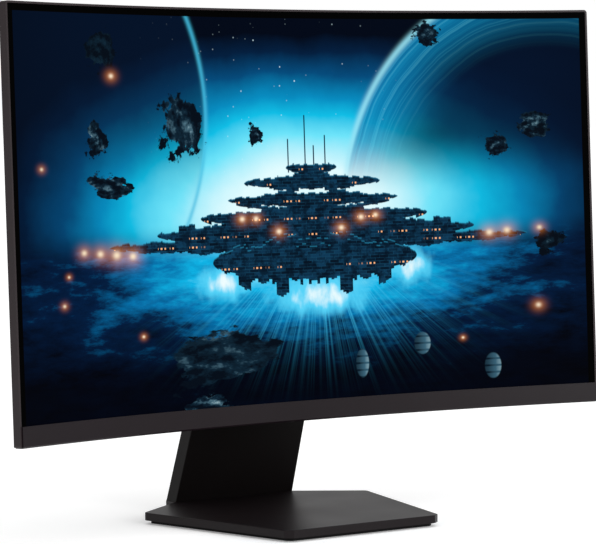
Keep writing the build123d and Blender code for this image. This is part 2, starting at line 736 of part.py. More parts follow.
JOY_PIVOT_UP = 13.0
RING_T = 2.0
PIN_R = 0.5
PIN_BORE = 0.55
HOUSING_HALF = 6.0
HOUSING_INNER = 5.0
CRADLE_HALF = 4.3
CRADLE_INNER = 3.2
ROCKER_HALF = 2.7
STEM_R = 1.2


def joystick_box(half, low, high):
    """Square block centred on the joystick's upright axis."""
    return head_block((-half, half), (JOY_DEPTH - half, JOY_DEPTH + half), (low, high))


def cross_pin(half_length, radius):
    """Pin that runs across the screen through the joystick's pivot."""
    with BuildPart() as pin:
        with BuildSketch(head_side(-half_length)):
            with Locations((JOY_DEPTH, JOY_PIVOT_UP)):
                Circle(radius)
        extrude(amount=2 * half_length)
    return pin.part


def fore_pin(half_length, radius):
    """Pin that runs fore and aft through the joystick's pivot."""
    return head_pegs([(0, JOY_PIVOT_UP)], radius, (JOY_DEPTH - half_length, JOY_DEPTH + half_length))


with BuildPart() as joystick_board:
    add(head_block((-14.5, 14.5), (10, 25.4), (20.6, 21.8)))
save(joystick_board, "joystick_board")

housing_block = joystick_box(HOUSING_HALF, 8, 20.6)
housing_hollow = joystick_box(HOUSING_INNER, 7, 18.8)
housing_bore = cross_pin(HOUSING_HALF + 1, PIN_BORE)
with BuildPart() as joystick_housing:
    add(housing_block)
    add(housing_hollow, mode=Mode.SUBTRACT)
    add(housing_bore, mode=Mode.SUBTRACT)
save(joystick_housing, "joystick_housing")

ring_low = JOY_PIVOT_UP - RING_T / 2
ring_high = JOY_PIVOT_UP + RING_T / 2
cradle_window = joystick_box(CRADLE_INNER, ring_low - 1, ring_high + 1)
cradle_ring = joystick_box(CRADLE_HALF, ring_low, ring_high) - cradle_window
pin_gap = joystick_box(CRADLE_INNER + 0.5, ring_low - 1, ring_high + 1)
cradle_pins = cross_pin(HOUSING_HALF - 0.2, PIN_R) - pin_gap
cradle_bore = fore_pin(CRADLE_HALF + 1, PIN_BORE)
with BuildPart() as joystick_cradle:
    add(cradle_ring)
    add(cradle_pins)
    add(cradle_bore, mode=Mode.SUBTRACT)
save(joystick_cradle, "joystick_cradle")

rocker_block = joystick_box(ROCKER_HALF, ring_low, ring_high)
rocker_pins = fore_pin(CRADLE_HALF - 0.1, PIN_R)
with BuildPart() as joystick_rocker:
    add(rocker_block)
    add(rocker_pins)
    with BuildSketch(head_floor.offset(ring_low - 1)):
        with Locations((0, JOY_DEPTH)):
            Circle(STEM_R + 0.05)
    extrude(amount=RING_T + 2, mode=Mode.SUBTRACT)
save(joystick_rocker, "joystick_rocker")

KNOB_R = 5.5
KNOB_FOOT = -1.5
KNOB_TOP = 6.0
STEM_TOP = 16.4
with BuildPart() as joystick_knob:
    with BuildSketch(head_floor.offset(KNOB_FOOT)):
        with Locations((0, JOY_DEPTH)):
            Circle(KNOB_R)
    extrude(amount=KNOB_TOP - KNOB_FOOT)
    knob_rim = joystick_knob.edges().filter_by(GeomType.CIRCLE).sort_by(Axis.Z)[0]
    fillet(knob_rim, 0.8)
    with BuildSketch(head_floor.offset(KNOB_FOOT)):
        with Locations((0, JOY_DEPTH)):
            Circle(2.6)
    extrude(amount=0.6, mode=Mode.SUBTRACT)
    with BuildSketch(head_floor.offset(KNOB_TOP)):
        with Locations((0, JOY_DEPTH)):
            Circle(STEM_R)
    extrude(amount=STEM_TOP - KNOB_TOP)
save(joystick_knob, "joystick_knob")

# ---------------------------------------------------------------- stand: base

SCREW_PLACES = [(-30, 101.5), (30, 101.5)]
FACET = 5.5  # setback of the small flat across each front corner
base_half_outline = [
    (BASE_FRONT_HALF, BASE_FRONT_Y),
    (BASE_WIDE_HALF, BASE_WIDE_Y),
    (COLUMN_FOOT_HALF, BASE_WIDE_Y + BASE_REAR_SLOPE * (BASE_WIDE_HALF - COLUMN_FOOT_HALF)),
    (COLUMN_FOOT_HALF, COLUMN_FOOT_Y + COLUMN_RUN_Y),
    (COLUMN_FOOT_HALF - 5.5, -BASE_FRONT_Y),
]
base_outline = base_half_outline + [(-x, y) for x, y in reversed(base_half_outline)]


def base_plate(inset, bottom, top):
    """Plate with the base's outline drawn in by inset: facets at the front corners, the widest ones round."""
    with BuildPart() as plate:
        with BuildSketch(Plane.XY.offset(bottom)) as plan:
            with BuildLine():
                Polyline(*base_outline, close=True)
            make_face()
            fillet(plan.vertices().filter_by(lambda corner: abs(corner.X) > BASE_WIDE_HALF - 1), 6.0)
            chamfer(plan.vertices().filter_by(lambda corner: corner.Y < BASE_FRONT_Y + 1), FACET)
            fillet(plan.vertices().filter_by(lambda corner: corner.Y < BASE_FRONT_Y + 2 * FACET), 2.5)
            if inset > 0:
                offset(amount=-inset, kind=Kind.INTERSECTION, mode=Mode.REPLACE)
        extrude(amount=top - bottom)
    return plate.part


def upright_pegs(places, radius, bottom, top):
    """Upright round pegs at (x, y) places."""
    with BuildPart() as pegs:
        with BuildSketch(Plane.XY.offset(bottom)):
            with Locations(*places):
                Circle(radius)
        extrude(amount=top - bottom)
    return pegs.part


cover_block = base_plate(0, BASE_SIDE_FOOT, BASE_TOP)
cover_hollow = base_plate(2.4, BASE_SIDE_FOOT - 1, BASE_TOP - SKIN)
cover_holes = upright_pegs(SCREW_PLACES, 3.3, 0, BASE_TOP + 1)
with BuildPart() as base_cover:
    add(cover_block)
    fillet(base_cover.faces().sort_by(Axis.Z)[-1].edges(), 0.8)
    add(cover_hollow, mode=Mode.SUBTRACT)
    add(cover_holes, mode=Mode.SUBTRACT)
save(base_cover, "base_cover")

weight_holes = upright_pegs(SCREW_PLACES, 3.3, 0, BASE_TOP)
with BuildPart() as base_weight:
    add(base_plate(2.8, BASE_SIDE_FOOT + 0.1, BASE_TOP - SKIN - 0.1))
    add(weight_holes, mode=Mode.SUBTRACT)
save(base_weight, "base_weight")

PAD_BOTTOM = 0.6
FOOT_R = 9.0
FOOT_TOP = 1.8
foot_places = [(x * across, along) for across, along in ((62, -96), (102, 50), (47, 95)) for x in (-1, 1)]
pad_block = base_plate(BASE_PAD_INSET, PAD_BOTTOM, BASE_SIDE_FOOT)
pad_holes = upright_pegs(SCREW_PLACES, 3.3, 0, BASE_TOP)
pad_wells = upright_pegs(SCREW_PLACES, 5.9, 0, PAD_BOTTOM + 2.4)
foot_wells = upright_pegs(foot_places, FOOT_R + 0.2, 0, FOOT_TOP)
with BuildPart() as base_pad:
    add(pad_block)
    add(pad_holes, mode=Mode.SUBTRACT)
    add(pad_wells, mode=Mode.SUBTRACT)
    add(foot_wells, mode=Mode.SUBTRACT)
save(base_pad, "base_pad")

with BuildPart() as rubber_feet:
    add(upright_pegs(foot_places, FOOT_R, 0, FOOT_TOP))
    fillet(rubber_feet.edges().filter_by(GeomType.CIRCLE).group_by(Axis.Z)[0], 0.5)
save(rubber_feet, "rubber_feet")

SCREW_HEAD_FOOT = 0.9
SCREW_HEAD_TOP = 3.0
with BuildPart() as base_screws:
    add(upright_pegs(SCREW_PLACES, 5.5, SCREW_HEAD_FOOT, SCREW_HEAD_TOP))
    add(upright_pegs(SCREW_PLACES, 3.0, SCREW_HEAD_TOP, 22))
    with BuildSketch(Plane.XY.offset(SCREW_HEAD_FOOT)):
        with Locations(*SCREW_PLACES):
            SlotOverall(9, 1.4)
    extrude(amount=1.0, mode=Mode.SUBTRACT)
save(base_screws, "base_screws")

# ---------------------------------------------------------------- stand: column

SEAM = 10.0  # depth of the joint between the two column covers
FOOT_TRIM = BASE_TOP + 0.02
BELOW = 14.0  # how far the column is drawn past the base before it is trimmed level


def column_slab(shrink, front, back, top):
    """Tapering slab between two depths inside the column's front face, from below the base up to top."""
    low_half = COLUMN_FOOT_HALF + COLUMN_TAPER * BELOW - shrink
    high_half = COLUMN_FOOT_HALF - COLUMN_TAPER * top - shrink
    with BuildPart() as slab:
        with BuildSketch(column_layer(front)):
            with BuildLine():
                Polyline(
                    (-low_half, -BELOW), (low_half, -BELOW), (high_half, top), (-high_half, top), close=True
                )
            make_face()
        extrude(amount=-(back - front))
    return slab.part


def column_block(x_range, depth_range, along_range):
    """Straight block in the column's own directions."""
    with BuildPart() as block:
        with BuildSketch(column_layer(depth_range[0])):
            with Locations((sum(x_range) / 2, sum(along_range) / 2)):
                Rectangle(x_range[1] - x_range[0], along_range[1] - along_range[0])
        extrude(amount=-(depth_range[1] - depth_range[0]))
    return block.part


def column_pegs(places, radius, depth_range):
    """Round pegs square to the column's face, at (across, along) places."""
    with BuildPart() as pegs:
        with BuildSketch(column_layer(depth_range[0])):
            with Locations(*places):
                Circle(radius)
        extrude(amount=-(depth_range[1] - depth_range[0]))
    return pegs.part


toward_viewer = Axis(column_front.origin, column_front.z_dir)
EAR_SLOT_IN = EAR_X - 3.5
EAR_SLOT_OUT = EAR_X + EAR_T + 7.5
front_slab = column_slab(0, 0, SEAM, COLUMN_TOP)
front_hollow = column_slab(SKIN, SKIN, SEAM + 1, COLUMN_TOP - SKIN)
slot_range = (HINGE_ALONG - 11, HINGE_ALONG + 19.4)
ear_slots = [
    column_block((EAR_SLOT_IN, EAR_SLOT_OUT), (-1, SKIN + 1), slot_range),
    column_block((-EAR_SLOT_OUT, -EAR_SLOT_IN), (-1, SKIN + 1), slot_range),
]
with BuildPart() as column_front_cover:
    add(front_slab)
    fillet(column_front_cover.faces().sort_by(toward_viewer)[-1].edges(), 1.0)
    add(front_hollow, mode=Mode.SUBTRACT)
    add(ear_slots, mode=Mode.SUBTRACT)
    split(bisect_by=Plane.XY.offset(FOOT_TRIM), keep=Keep.TOP)
save(column_front_cover, "column_front_cover")

rear_slab = column_slab(0, SEAM, COLUMN_THICK, COLUMN_TOP)
rear_hollow = column_slab(SKIN, SEAM - 1, COLUMN_THICK - SKIN, COLUMN_TOP - SKIN)
with BuildPart() as column_rear_cover:
    add(rear_slab)
    fillet(column_rear_cover.faces().sort_by(toward_viewer)[0].edges(), 1.5)
    add(rear_hollow, mode=Mode.SUBTRACT)
    split(bisect_by=Plane.XY.offset(FOOT_TRIM), keep=Keep.TOP)
save(column_rear_cover, "column_rear_cover")

CORE_DEPTH = (7.0, 9.5)
CORE_TOP = HINGE_ALONG - 12.0
stand_screw_places = [(x * 12, HINGE_ALONG - along) for x in (-1, 1) for along in (22, 40)]
core_blade = column_block((-42, 42), CORE_DEPTH, (-BELOW, CORE_TOP))
core_foot = column_block((-50, 50), (SKIN + 0.4, COLUMN_THICK - SKIN - 0.4), (-BELOW, 18))
core_holes = column_pegs(stand_screw_places, 1.55, (CORE_DEPTH[0] - 1, CORE_DEPTH[1] + 1))
core_threads = upright_pegs(SCREW_PLACES, 3.03, 0, 23)
with BuildPart() as column_core:
    add(core_blade)
    add(core_foot)
    add(core_holes, mode=Mode.SUBTRACT)
    add(core_threads, mode=Mode.SUBTRACT)
    split(bisect_by=Plane.XY.offset(FOOT_TRIM), keep=Keep.TOP)
save(column_core, "column_core")

# ---------------------------------------------------------------- stand: hinge

STAND_EAR_X = 24.0
PLATE_DEPTH = (4.5, 7.0)
AXIS_DEPTH = COLUMN_THICK / 2
stand_plate = column_block((-28, 28), PLATE_DEPTH, (HINGE_ALONG - 47, HINGE_ALONG - 7))
stand_plate_holes = column_pegs(stand_screw_places, 1.6, (PLATE_DEPTH[0] - 1, PLATE_DEPTH[1] + 1))


def hinge_ring(inner_x, length, outer_r, bore):
    """Ring around the tilt axis, starting at inner_x."""
    with BuildPart() as ring:
        with BuildSketch(Plane(origin=(inner_x, HINGE_Y, HINGE_Z), z_dir=(1, 0, 0))):
            Circle(outer_r)
            Circle(bore, mode=Mode.SUBTRACT)
        extrude(amount=length)
    return ring.part


def stand_ear(inner_x):
    """Cheek of the stand's bracket, square at its root and round about the tilt axis."""
    root_depths = (AXIS_DEPTH - EAR_TIP_R, AXIS_DEPTH + EAR_TIP_R)
    root = column_block((inner_x, inner_x + EAR_T), root_depths, (HINGE_ALONG - 11, HINGE_ALONG))
    tip = hinge_ring(inner_x, EAR_T, EAR_TIP_R, SHAFT_R)
    with BuildPart() as cheek:
        add(root)
        add(tip)
        with BuildSketch(Plane(origin=(inner_x - 1, HINGE_Y, HINGE_Z), z_dir=(1, 0, 0))):
            Circle(SHAFT_R + 0.02)
        extrude(amount=EAR_T + 2, mode=Mode.SUBTRACT)
    return cheek.part


stand_ears = [stand_ear(STAND_EAR_X), stand_ear(-STAND_EAR_X - EAR_T)]
with BuildPart() as stand_bracket:
    add(stand_plate)
    add(stand_ears)
    add(stand_plate_holes, mode=Mode.SUBTRACT)
save(stand_bracket, "stand_bracket")

with BuildPart() as stand_screws:
    add(column_pegs(stand_screw_places, 2.8, (PLATE_DEPTH[0] - 1.6, PLATE_DEPTH[0])))
    add(column_pegs(stand_screw_places, 1.5, (PLATE_DEPTH[0], CORE_DEPTH[1] + 1.5)))
save(stand_screws, "stand_screws")

SHAFT_HALF = 39.0
with BuildPart() as hinge_shaft:
    with BuildSketch(Plane(origin=(-SHAFT_HALF, HINGE_Y, HINGE_Z), z_dir=(1, 0, 0))):
        Circle(SHAFT_R)
    extrude(amount=2 * SHAFT_HALF)
    chamfer(hinge_shaft.edges().filter_by(GeomType.CIRCLE), 0.4)
save(hinge_shaft, "hinge_shaft")


def hinge_rings(start, length, outer_r):
    """The same ring on both ends of the shaft."""
    right = hinge_ring(start, length, outer_r, SHAFT_R + 0.02)
    left = hinge_ring(-start - length, length, outer_r, SHAFT_R + 0.02)
    return [left, right]


spacer_rings = hinge_rings(STAND_EAR_X + EAR_T + 0.1, 3.2, 5.0)
with BuildPart() as hinge_spacers:
    add(spacer_rings)
save(hinge_spacers, "hinge_spacers")

washer_rings = hinge_rings(EAR_X + EAR_T + 0.2, 1.0, 5.6)
with BuildPart() as friction_washers:
    add(washer_rings)
save(friction_washers, "friction_washers")

# each disc spring is a shallow cone that presses the washer against the head's bracket
DISC_START = EAR_X + EAR_T + 1.3
with BuildPart() as disc_springs:
    with BuildSketch(Plane.XZ.offset(-HINGE_Y)):
        for side in (-1, 1):
            for start, rise in ((DISC_START, 0.4), (DISC_START + 0.9, 0.4)):
                with BuildLine():
                    Polyline(
                        (side * start, HINGE_Z + SHAFT_R + 0.02),
                        (side * (start + 0.45), HINGE_Z + SHAFT_R + 0.02),
                        (side * (start + 0.45 + rise), HINGE_Z + 5.4),
                        (side * (start + rise), HINGE_Z + 5.4),
                        close=True,
                    )
                make_face()
    revolve(axis=Axis((0, HINGE_Y, HINGE_Z), (1, 0, 0)))
save(disc_springs, "disc_springs")

NUT_START = DISC_START + 1.9
with BuildPart() as hinge_nuts:
    with BuildSketch(Plane(origin=(NUT_START, HINGE_Y, HINGE_Z), z_dir=(1, 0, 0))):
        RegularPolygon(5.7, 6)
        Circle(SHAFT_R + 0.02, mode=Mode.SUBTRACT)
    extrude(amount=3.0)
    mirror(about=Plane.YZ)
save(hinge_nuts, "hinge_nuts")
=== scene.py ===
"""Finishes, screen picture, studio and camera for the curved desktop monitor."""

import json
import math

import bpy
from mathutils import Matrix, Vector

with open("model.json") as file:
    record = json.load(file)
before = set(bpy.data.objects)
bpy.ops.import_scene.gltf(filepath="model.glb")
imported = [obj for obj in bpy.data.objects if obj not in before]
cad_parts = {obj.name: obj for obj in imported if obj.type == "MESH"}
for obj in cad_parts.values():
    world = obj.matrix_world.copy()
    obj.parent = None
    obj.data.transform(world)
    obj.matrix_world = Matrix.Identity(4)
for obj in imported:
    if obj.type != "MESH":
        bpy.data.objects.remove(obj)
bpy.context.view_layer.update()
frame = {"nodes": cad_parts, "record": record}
scene = bpy.context.scene
nodes = frame["nodes"]

MM = 0.001
BEND_RADIUS = 1.0  # the screen is part of a cylinder this round
LEAN = math.radians(2.0)  # the screen's backward lean at rest
UP_THE_SCREEN = Vector((0.0, math.sin(LEAN), math.cos(LEAN)))


# ---------------------------------------------------------------- node building


def shade(red, green, blue):
    """A colour as read off a screen, 0 to 255, as the linear numbers a shader takes."""

    def linear(level):
        level = level / 255
        return level / 12.92 if level <= 0.04045 else ((level + 0.055) / 1.055) ** 2.4

    return (linear(red), linear(green), linear(blue), 1.0)


def put(socket, value):
    """Links a socket or a Wire to an input, or sets a plain value on it."""
    if isinstance(value, Wire):
        value = value.socket
    if isinstance(value, bpy.types.NodeSocket):
        socket.id_data.links.new(value, socket)
    else:
        socket.default_value = value


class Wire:
    """A number travelling through a material; arithmetic on it adds Math nodes."""

    def __init__(self, socket):
        self.socket = socket

    def math(self, operation, *others, swapped=False):
        node = self.socket.id_data.nodes.new("ShaderNodeMath")
        node.operation = operation
        terms = (others[0], self) if swapped else (self, *others)
        for socket, term in zip(node.inputs, terms):
            put(socket, term)
        return Wire(node.outputs[0])

    def __add__(self, other):
        return self.math("ADD", other)

    def __sub__(self, other):
        return self.math("SUBTRACT", other)

    def __rsub__(self, other):
        return self.math("SUBTRACT", other, swapped=True)

    def __mul__(self, other):
        return self.math("MULTIPLY", other)

    def __truediv__(self, other):
        return self.math("DIVIDE", other)

    def __abs__(self):
        return self.math("ABSOLUTE")

    __radd__ = __add__
    __rmul__ = __mul__


class Nodes:
    """The few node kinds the finishes and the picture are made from, added to one tree."""

    def node(self, kind, **settings):
        node = self.tree.nodes.new("ShaderNode" + kind)
        for name, value in settings.items():
            setattr(node, name, value)
        return node

    def stretched(self, across, back, up, shift=(0.0, 0.0, 0.0)):
        """The place, scaled on each axis and moved, so that a pattern on it runs long or short."""
        node = self.node("Mapping")
        put(node.inputs["Vector"], self.place)
        node.inputs["Scale"].default_value = (across, back, up)
        node.inputs["Location"].default_value = shift
        return node.outputs[0]

    def noise(self, scale, detail=2.0, rough=0.5, place=None):
        node = self.node("TexNoise")
        put(node.inputs["Vector"], place or self.place)
        node.inputs["Scale"].default_value = scale
        node.inputs["Detail"].default_value = detail
        node.inputs["Roughness"].default_value = rough
        return Wire(node.outputs[0])

    def noise_along(self, distance, detail=2.0, rough=0.5):
        """Noise that changes along one number only."""
        node = self.node("TexNoise", noise_dimensions="1D")
        put(node.inputs["W"], distance)
        node.inputs["Scale"].default_value = 1.0
        node.inputs["Detail"].default_value = detail
        node.inputs["Roughness"].default_value = rough
        return Wire(node.outputs[0])

    def chance(self, number):
        """A random value from 0 to 1 for each number."""
        node = self.node("TexWhiteNoise", noise_dimensions="1D")
        put(node.inputs["W"], number)
        return Wire(node.outputs[0])

    def cells(self, scale, place=None, feature="F1", output="Distance"):
        node = self.node("TexVoronoi", feature=feature)
        put(node.inputs["Vector"], place or self.place)
        node.inputs["Scale"].default_value = scale
        if output == "Distance":
            return Wire(node.outputs[output])
        parts = self.node("SeparateColor")
        put(parts.inputs[0], node.outputs[output])
        return Wire(parts.outputs[0])

    def vector(self, across, back, up=0.0):
        node = self.node("CombineXYZ")
        for socket, value in zip(node.inputs, (across, back, up)):
            put(socket, value)
        return node.outputs[0]

    def step(self, value, low, high):
        """Smoothly from 0 to 1 as value goes from low to high."""
        node = self.node("MapRange", interpolation_type="SMOOTHSTEP")
        for socket, given in zip(node.inputs, (value, low, high)):
            put(socket, given)
        return Wire(node.outputs[0])

    def ramp(self, value, *stops):
        """A colour that runs through the given (position, colour) stops."""
        node = self.node("ValToRGB")
        put(node.inputs[0], value)
        elements = node.color_ramp.elements
        while len(elements) < len(stops):
            elements.new(1.0)
        for element, (position, colour) in zip(elements, stops):
            element.position = position
            element.color = colour
        return node.outputs[0]

    def mix(self, amount, under, over, way="MIX"):
        node = self.node("Mix", data_type="RGBA", blend_type=way)
        put(node.inputs[0], amount)
        put(node.inputs[6], under)
        put(node.inputs[7], over)
        return node.outputs[2]


class Material(Nodes):
    """A new material, with its shader and the place on the object."""

    def __init__(self, name):
        self.material = bpy.data.materials.new(name)
        self.material.use_nodes = True
        self.tree = self.material.node_tree
        self.shader = self.tree.nodes["Principled BSDF"]
        self.place = self.node("TexCoord").outputs["Object"]

    def set(self, **values):
        for name, value in values.items():
            put(self.shader.inputs[name.replace("_", " ")], value)

    def bump(self, height, depth):
        node = self.node("Bump")
        node.inputs["Distance"].default_value = depth
        put(node.inputs["Height"], height)
        put(self.shader.inputs["Normal"], node.outputs[0])


class Layer(Nodes):
    """A layer of the screen picture, as a node group that can be used many times.

    It takes the picture so far and the place on it, and hands both on. Each layer waits for the
    one before it, because the renderer can only hold so many numbers at once.
    """

    SOCKETS = (("Picture", "Color"), ("Across", "Float"), ("Up", "Float"))
    HARDLY = 1e-7

    def __init__(self, name, *knobs):
        self.tree = bpy.data.node_groups.new(name, "ShaderNodeTree")
        for label, kind in self.SOCKETS:
            self.tree.interface.new_socket(label, in_out="INPUT", socket_type="NodeSocket" + kind)
            self.tree.interface.new_socket(label, in_out="OUTPUT", socket_type="NodeSocket" + kind)
        for label in knobs:
            self.tree.interface.new_socket(label, in_out="INPUT", socket_type="NodeSocketFloat")
        given = self.tree.nodes.new("NodeGroupInput").outputs
        self.picture = given["Picture"]
        self.across = Wire(given["Across"])
        self.up = Wire(given["Up"])
        self.knobs = [Wire(given[label]) for label in knobs]
        self.place = self.vector(self.across, self.up)

    def close(self, picture, mask):
        """Ends the layer with its picture. mask is any number that the layer works out last."""
        result = self.tree.nodes.new("NodeGroupOutput").inputs
        put(result["Picture"], picture)
        put(result["Across"], self.across + mask * self.HARDLY)
        put(result["Up"], self.up + mask * self.HARDLY)
        return self

    def over(self, skin, state, *knobs):
        """Lays this layer over the state of the picture, which is (picture, across, up)."""
        node = skin.tree.nodes.new("ShaderNodeGroup")
        node.node_tree = self.tree
        for socket, value in zip(node.inputs, (*state, *knobs)):
            put(socket, value)
        return tuple(node.outputs[label] for label, kind in self.SOCKETS)


# ---------------------------------------------------------------- finishes


def moulded(name, colour, roughness=0.5, grain=0.5 * MM, depth=0.02 * MM, sheen=0.25):
    """Matt moulded plastic: a fine even grain, with slow patches where it is a little shinier."""
    skin = Material(name)
    fine = skin.noise(1 / grain, detail=3.0, rough=0.6)
    patches = skin.noise(14.0, detail=2.0)
    darker = tuple(level * 0.86 for level in colour[:3]) + (1.0,)
    lighter = tuple(level * 1.14 for level in colour[:3]) + (1.0,)
    tone = fine * 0.5 + patches * 0.5
    skin.set(
        Base_Color=skin.ramp(tone, (0.3, darker), (0.7, lighter)),
        Roughness=roughness + (patches - 0.5) * 0.12 + (fine - 0.5) * 0.1,
        Specular_IOR_Level=sheen,
    )
    skin.bump(fine, depth)
    return skin.material


def brushed(name, colour, roughness=0.35, along=(1.0, 30.0, 30.0), depth=0.01 * MM):
    """Rolled or brushed metal: fine lines one way, slow tarnish over them."""
    skin = Material(name)
    lines = skin.noise(90.0, detail=4.0, place=skin.stretched(*along))
    tarnish = skin.noise(25.0, detail=3.0)
    darker = tuple(level * 0.8 for level in colour[:3]) + (1.0,)
    skin.set(
        Base_Color=skin.ramp(tarnish * 0.6 + lines * 0.4, (0.3, darker), (0.65, colour)),
        Metallic=1.0,
        Roughness=roughness + (lines - 0.5) * 0.25 + (tarnish - 0.5) * 0.15,
    )
    skin.bump(lines, depth)
    return skin.material


def spangled(name, colour, roughness=0.42):
    """Zinc-coated sheet: large faint crystals, each at its own tone."""
    skin = Material(name)
    crystals = skin.cells(110.0, output="Color")
    edges = skin.cells(110.0, feature="DISTANCE_TO_EDGE")
    darker = tuple(level * 0.78 for level in colour[:3]) + (1.0,)
    skin.set(
        Base_Color=skin.ramp(crystals, (0.1, darker), (0.9, colour)),
        Metallic=1.0,
        Roughness=roughness + (crystals - 0.5) * 0.14,
    )
    skin.bump(edges, 0.02 * MM)
    return skin.material


def circuit_board(name, mask_colour, track_colour):
    """Solder mask with tracks showing through as slightly raised, lighter bands and round pads."""
    skin = Material(name)
    bands = skin.cells(260.0, feature="DISTANCE_TO_EDGE", place=skin.stretched(1.0, 0.2, 1.0))
    pads = skin.cells(420.0)
    tracks = skin.step(bands, 0.06, 0.1)
    dots = skin.step(pads, 0.12, 0.08)
    copper = skin.mix(dots, track_colour, shade(205, 180, 110))
    skin.set(
        Base_Color=skin.mix(tracks, copper, mask_colour),
        Roughness=0.28 + tracks * 0.12 + skin.noise(60.0) * 0.08,
    )
    skin.bump(dots - tracks, 0.03 * MM)
    return skin.material


def film(name, colour, roughness, clear=0.0):
    """Thin plastic sheet or light pipe, faintly rippled."""
    skin = Material(name)
    ripple = skin.noise(70.0, detail=3.0, place=skin.stretched(1.0, 1.0, 0.3))
    paler = tuple(min(1.0, level * 1.12) for level in colour[:3]) + (1.0,)
    skin.set(
        Base_Color=skin.ramp(ripple, (0.3, colour), (0.7, paler)),
        Roughness=roughness + (ripple - 0.5) * 0.1,
        Transmission_Weight=clear,
    )
    skin.bump(ripple, 0.05 * MM)
    return skin.material


def cast(name, colour):
    """Blackened steel plate with a pitted, sandy surface."""
    skin = Material(name)
    pits = skin.noise(900.0, detail=4.0, rough=0.7)
    patches = skin.noise(30.0, detail=3.0)
    paler = tuple(level * 1.6 for level in colour[:3]) + (1.0,)
    skin.set(
        Base_Color=skin.ramp(patches, (0.35, colour), (0.7, paler)),
        Metallic=0.85,
        Roughness=0.55 + (pits - 0.5) * 0.3,
    )
    skin.bump(pits, 0.06 * MM)
    return skin.material


STEEL = shade(168, 170, 174)
FINISHES = {
    "frame_plastic": moulded("frame_plastic", shade(38, 31, 33), roughness=0.42, sheen=0.18),
    "chin_plastic": moulded("chin_plastic", shade(21, 14, 18), roughness=0.36, sheen=0.14),
    "sheet": film("sheet", shade(225, 230, 232), 0.4),
    "guide": film("guide", shade(215, 228, 230), 0.15, clear=0.6),
    "board_green": circuit_board("board_green", shade(22, 84, 48), shade(46, 122, 70)),
    "led_body": moulded("led_body", shade(242, 238, 214), roughness=0.35),
    "inner_plastic": moulded("inner_plastic", shade(222, 222, 218), roughness=0.5),
    "galvanised": spangled("galvanised", shade(190, 193, 198)),
    "film": film("film", shade(176, 112, 44), 0.25),
    "ribbon_white": film("ribbon_white", shade(226, 226, 220), 0.45),
    "harness_black": moulded("harness_black", shade(34, 34, 35), roughness=0.55, grain=1.2 * MM),
    "chip_black": moulded("chip_black", shade(38, 38, 41), roughness=0.45, grain=0.2 * MM),
    "sink": brushed("sink", shade(200, 202, 206), along=(30.0, 30.0, 1.0)),
    "brass_standoff": brushed("brass_standoff", shade(212, 178, 98), along=(30.0, 1.0, 30.0)),
    "zinc_screw": brushed("zinc_screw", STEEL, roughness=0.3),
    "boss_steel": brushed("boss_steel", shade(150, 152, 156), along=(30.0, 1.0, 30.0)),
    "socket_metal": brushed("socket_metal", shade(198, 199, 202), roughness=0.25),
    "jack_black": moulded("jack_black", shade(24, 24, 25), roughness=0.35, grain=0.3 * MM),
    "cover_plastic": moulded(
        "cover_plastic", shade(40, 39, 41), roughness=0.55, grain=0.9 * MM, depth=0.05 * MM
    ),
    "knob_black": moulded("knob_black", shade(36, 36, 37), roughness=0.6, grain=0.3 * MM),
    "switch_plastic": moulded("switch_plastic", shade(88, 88, 92), roughness=0.45),
    "lens_clear": film("lens_clear", shade(228, 232, 236), 0.1, clear=0.5),
    "hinge_steel": brushed("hinge_steel", shade(128, 130, 134), roughness=0.45),
    "shaft_steel": brushed("shaft_steel", shade(196, 198, 202), roughness=0.22),
    "column_plastic": moulded("column_plastic", shade(13, 10, 10), roughness=0.5, sheen=0.08),
    "base_plastic": moulded("base_plastic", shade(19, 13, 15), roughness=0.4, sheen=0.15),
    "weight_steel": cast("weight_steel", shade(88, 88, 90)),
    "pad_plastic": moulded("pad_plastic", shade(10, 9, 10), roughness=0.6, sheen=0.1),
    "foot_rubber": moulded("foot_rubber", shade(30, 30, 30), roughness=0.8, grain=0.8 * MM),
}


# ---------------------------------------------------------------- the picture on the screen

UNIT = 300.0 * MM  # the picture is drawn in half widths of the screen, across and up from its middle
PICTURE_MID = 192.0 * MM
BORDER = 6.0 * MM  # black strip inside the rim, left, right and above
HEAD_FOOT = Vector((0.0, -15.3 * MM, 89.9 * MM))
SCREEN_HALF_ARC = 306.0 * MM
SCREEN_TOP = 364.0 * MM
EDGE_SOFTNESS = 0.002
SIDE_DIMMING = 0.6
PLATFORM_MIDDLE = 0.07
WINDOWS = 70.0  # window places in each unit of a deck's length
STAR_CELLS = 42.0


def ellipse(layer, middle, width, height):
    """Distance from middle, counted in its own half width and half height."""
    sideways = (layer.across - middle[0]) / width
    upward = (layer.up - middle[1]) / height
    return (sideways * sideways + upward * upward).math("SQRT")


def bell(distance):
    """1 at no distance, falling away softly to 0 over about 1."""
    return (distance * distance * -1.0).math("EXPONENT")


def glow(layer, middle, width, height):
    """A soft spot of light, 1 at its middle."""
    return bell(ellipse(layer, middle, width, height))


def sky():
    """Deep blue space, cyan white round the middle, with faint clouds."""
    layer = Layer("sky")
    clouds = layer.noise(3.0, detail=4.0, rough=0.55)
    far = ellipse(layer, (0.04, -0.01), 1.14, 0.52) + (clouds - 0.5) * 0.2
    space = layer.ramp(
        far,
        (0.22, shade(226, 252, 255)),
        (0.42, shade(110, 228, 250)),
        (0.54, shade(14, 190, 230)),
        (0.64, shade(4, 140, 192)),
        (0.78, shade(2, 74, 122)),
        (0.9, shade(1, 30, 62)),
        (1.0, shade(0, 6, 22)),
    )
    return layer.close(space, far)


